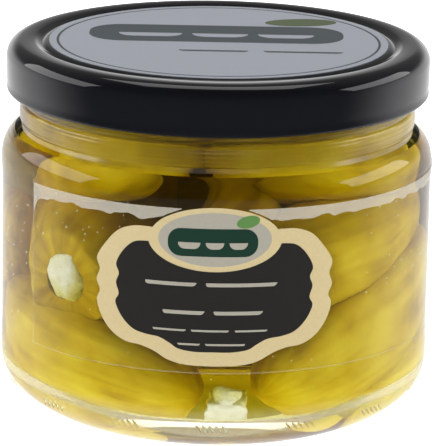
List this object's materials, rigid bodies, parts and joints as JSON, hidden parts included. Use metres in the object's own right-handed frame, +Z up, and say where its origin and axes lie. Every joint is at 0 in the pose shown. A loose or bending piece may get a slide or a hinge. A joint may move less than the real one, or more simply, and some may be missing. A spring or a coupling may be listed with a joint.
{
  "type": "jar of cheese-stuffed yellow peppers in oil",
  "caption": "Squat clear glass jar of cheese-stuffed yellow peppers in oil, shut with a black twist-off lid, with a scalloped label in front and a round label on top.",
  "frame": {"origin": "centre of the ring that the jar stands on, at its underside", "axes": "+Z up along the jar's axis; the front label faces -Y; +X to the viewer's right when facing the label"},
  "size_m": [0.0882, 0.0886, 0.0772],
  "materials": {
    "clear_glass": "polished",
    "yellow_oil": "clear liquid",
    "black_enamel": "gloss",
    "cream_paper": "semi-matt print",
    "clear_film": "clear gloss",
    "white_paper": "semi-matt print",
    "pepper_flesh": "wet",
    "white_cheese": "crumbly"
  },
  "bodies": {
    "root": {"glass_jar": "clear_glass", "oil_fill": "yellow_oil", "twist_off_lid": "black_enamel", "label_film": "clear_film", "front_label": "cream_paper", "lid_label": "white_paper"}
  },
  "joints": []
}
